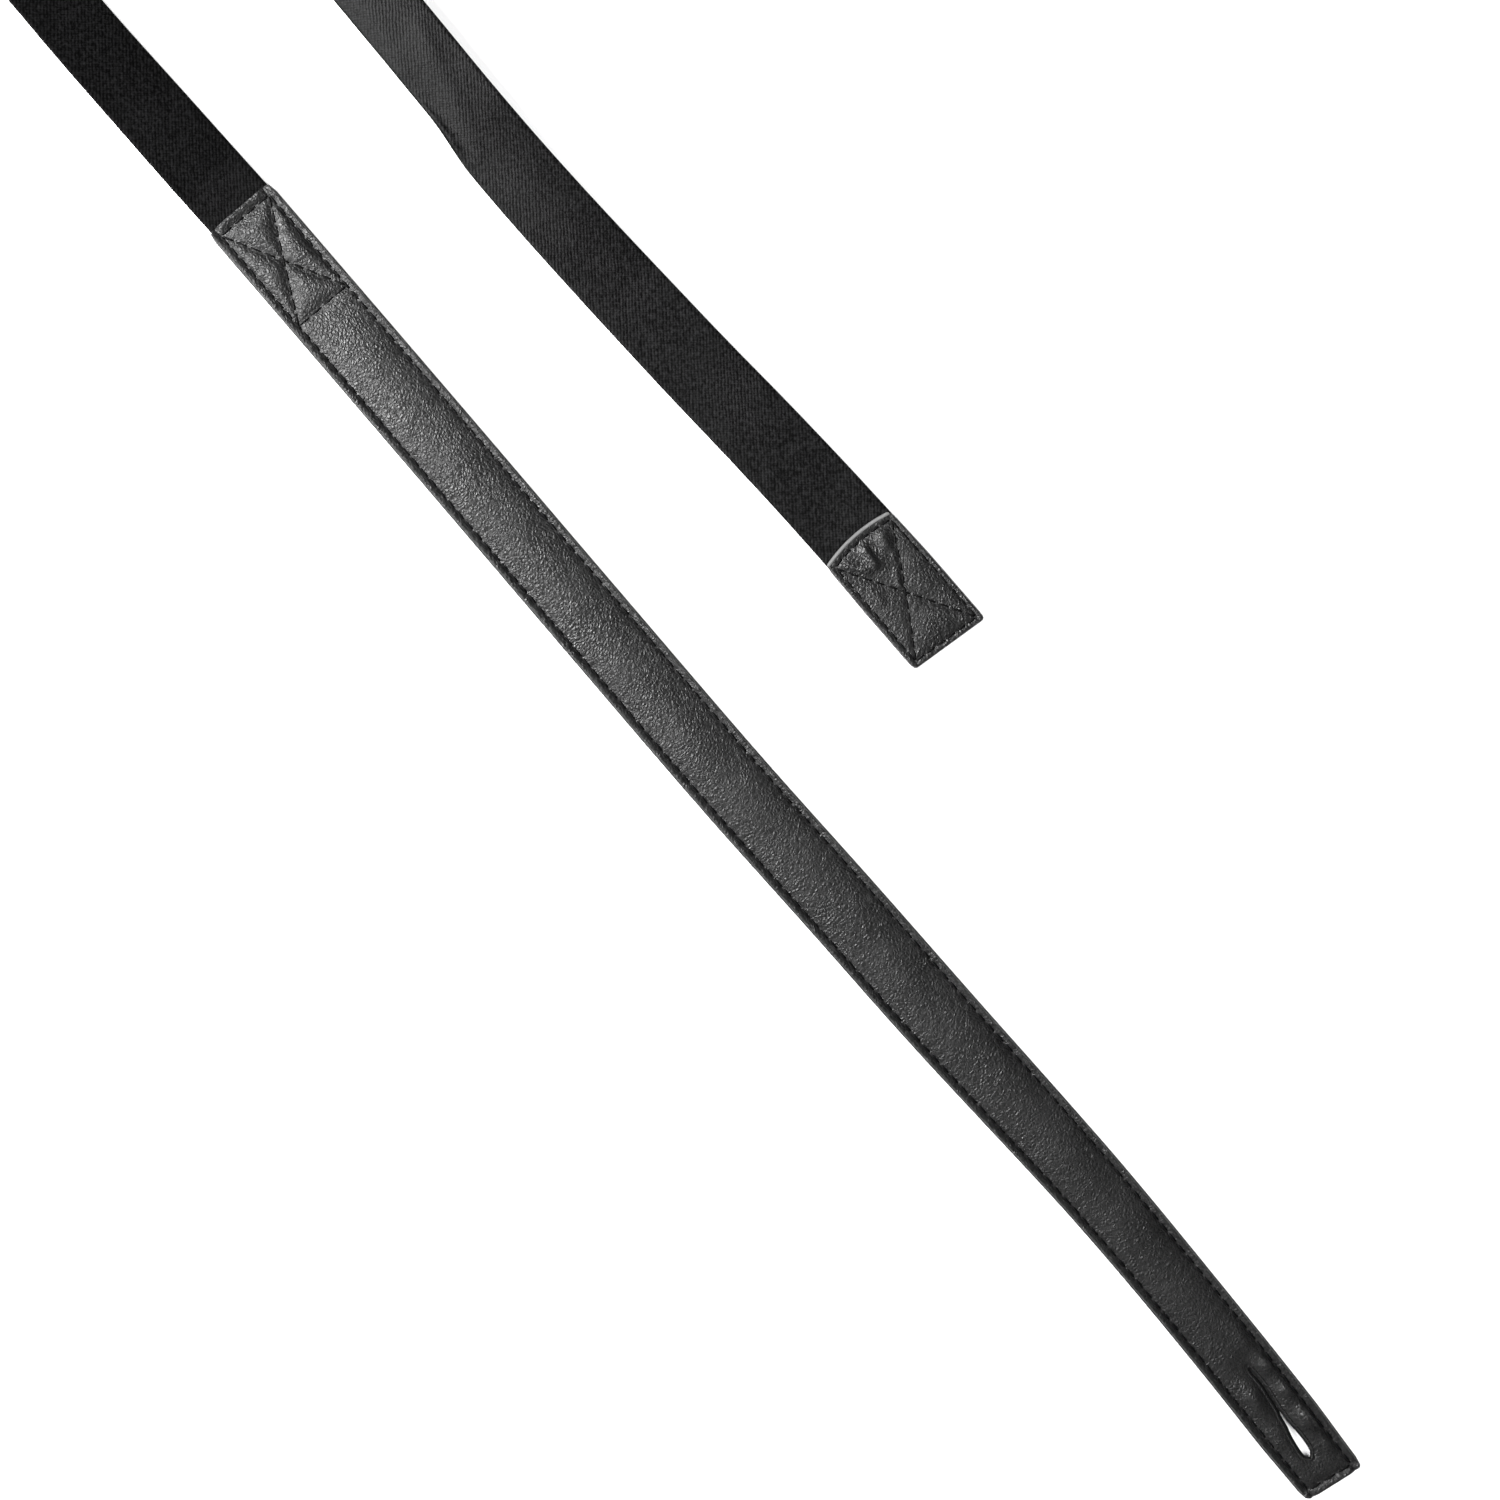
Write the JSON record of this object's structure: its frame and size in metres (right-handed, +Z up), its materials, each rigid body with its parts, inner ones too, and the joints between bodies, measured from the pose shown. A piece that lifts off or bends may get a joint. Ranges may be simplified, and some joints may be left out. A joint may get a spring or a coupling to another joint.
{
  "type": "flat strap with buttonhole end",
  "caption": "Soft flat twill strap with a long padded leather sleeve, slit with a buttonhole, at one end and a short leather tab at the other.",
  "frame": {"origin": "on the surface the strap lies on, below the middle of its bounding box", "axes": "+X along both runs towards their free ends, +Y from the sleeve's run to the tab's run, +Z up out of the face leather"},
  "size_m": [0.6784, 0.1024, 0.0031],
  "materials": {
    "face_leather": "soft black face leather with a fine pebble grain and a satin sheen",
    "back_leather": "smooth matt black back leather",
    "twill": "fine matt black twill",
    "thread": "black polyester sewing thread",
    "buttonhole_thread": "black silk twist, satin stitched",
    "padding": "grey needled felt padding",
    "interlining": "unbleached woven interlining",
    "binding": "charcoal grey edge binding"
  },
  "bodies": {
    "turn": {"band_turn": "twill"},
    "sleeve_run": {"band_sleeve_run": "twill"},
    "sleeve": {"sleeve_face": "face_leather", "sleeve_back": "back_leather", "sleeve_filler": "padding", "buttonhole_patch": "interlining", "buttonhole_thread": "buttonhole_thread", "sleeve_edge_thread": "thread", "sleeve_edge_bobbin": "thread", "sleeve_cross_thread": "thread", "sleeve_cross_bobbin": "thread", "band_sleeve_end": "twill"},
    "tab_run": {"band_tab_run": "twill"},
    "tab": {"tab_face": "face_leather", "tab_back": "back_leather", "tab_mouth_binding": "binding", "tab_edge_thread": "thread", "tab_edge_bobbin": "thread", "tab_cross_thread": "thread", "tab_cross_bobbin": "thread", "band_tab_end": "twill"}
  },
  "joints": [
    {"name": "sleeve_run_fold", "type": "hinge", "parent": "turn", "child": "sleeve_run", "pos_m": [-0.32775, -0.03925, 0.0009], "axis": [0.7071, -0.7071, 0], "range_deg": [0, 90]},
    {"name": "sleeve_bend", "type": "hinge", "parent": "sleeve_run", "child": "sleeve", "pos_m": [-0.18419, -0.03925, 0.00125], "axis": [0, -1, 0], "range_deg": [0, 90]},
    {"name": "tab_run_fold", "type": "hinge", "parent": "turn", "child": "tab_run", "pos_m": [-0.32775, 0.03775, 0.0009], "axis": [-0.7071, -0.7071, 0], "range_deg": [0, 90]},
    {"name": "tab_bend", "type": "hinge", "parent": "tab_run", "child": "tab", "pos_m": [0.01791, 0.03775, 0.00125], "axis": [0, -1, 0], "range_deg": [0, 120]}
  ]
}
